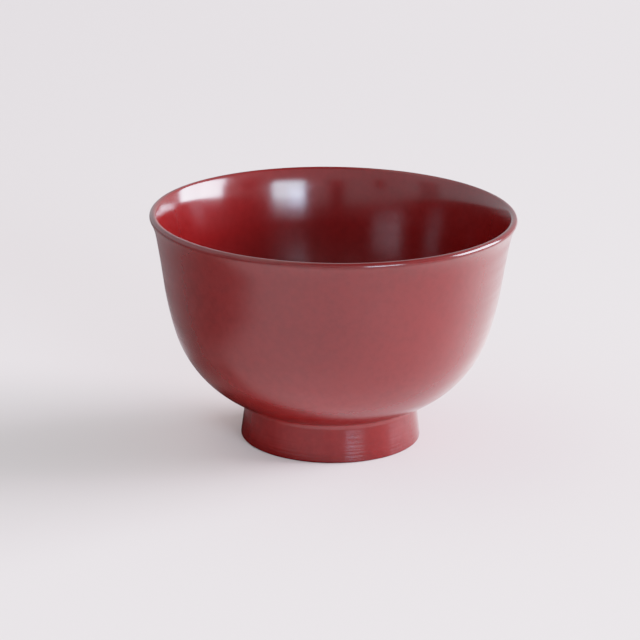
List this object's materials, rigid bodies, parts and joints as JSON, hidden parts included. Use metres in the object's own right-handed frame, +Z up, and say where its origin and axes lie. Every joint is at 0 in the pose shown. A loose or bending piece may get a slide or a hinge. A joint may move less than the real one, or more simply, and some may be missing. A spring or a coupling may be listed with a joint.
{
  "type": "rice bowl",
  "caption": "Round rice bowl with a slightly flared thin lip, deep rounded belly and raised foot ring, turned in wood and finished in red lacquer, for one serving of rice or soup.",
  "frame": {"origin": "centre of the foot's tread, on the surface that the bowl stands on", "axes": "+Z up the bowl's turning axis; X and Y are any two directions across it, because the bowl is round"},
  "size_m": [0.12, 0.12, 0.0763],
  "materials": {
    "turned_wood": "turned, sealed",
    "hemp_cloth": "plain weave, soaked in lacquer",
    "ground_coat": "matt, rubbed flat",
    "red_lacquer": "smooth, glossy inside and satin outside"
  },
  "bodies": {
    "root": {"wood_core": "turned_wood", "rim_cloth": "hemp_cloth", "floor_cloth": "hemp_cloth", "foot_cloth": "hemp_cloth", "inner_ground": "ground_coat", "outer_ground": "ground_coat", "foot_ground": "ground_coat", "inner_lacquer": "red_lacquer", "outer_lacquer": "red_lacquer", "tread_lacquer": "red_lacquer", "well_lacquer": "red_lacquer"}
  },
  "joints": []
}
